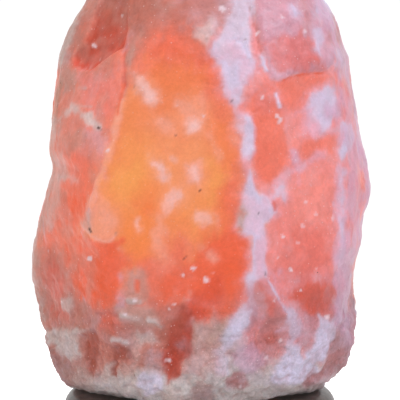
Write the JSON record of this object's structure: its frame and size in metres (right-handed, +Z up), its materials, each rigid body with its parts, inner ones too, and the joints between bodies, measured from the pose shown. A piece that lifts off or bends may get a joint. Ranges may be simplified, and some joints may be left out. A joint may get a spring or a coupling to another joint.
{
  "type": "rock salt lamp",
  "caption": "Rough-hewn lump of pink halite lit from inside by a small bulb in a drilled bore, on a low turned wooden base with the cord groove at its back.",
  "frame": {"origin": "on the surface that the lamp stands on, under the middle of its four feet", "axes": "+Z up along the bore, -Y towards the viewer of the picture, +X to the viewer's right, +Y towards the cord groove at the back"},
  "size_m": [0.1362, 0.1158, 0.2148],
  "materials": {
    "pink_halite": "cloudy pink rock salt, hewn and slightly waxy, lit from inside",
    "dark_wood": "dark stained hardwood, turned and thinly lacquered",
    "white_plastic": "moulded, satin",
    "bulb_glass": "blown glass, warm lit",
    "nickelled_brass": "rolled and nickel plated",
    "spring_steel": "cold rolled strip",
    "screw_steel": "zinc plated",
    "black_rubber": "moulded, matt"
  },
  "bodies": {
    "root": {"salt_lump": "pink_halite", "wood_base": "dark_wood", "lamp_holder": "white_plastic", "bulb_glass": "bulb_glass", "bulb_cap": "nickelled_brass", "holder_spring": "spring_steel", "base_screw_1": "screw_steel", "base_screw_2": "screw_steel", "base_screw_3": "screw_steel", "foot_1": "black_rubber", "foot_2": "black_rubber", "foot_3": "black_rubber", "foot_4": "black_rubber"}
  },
  "joints": []
}
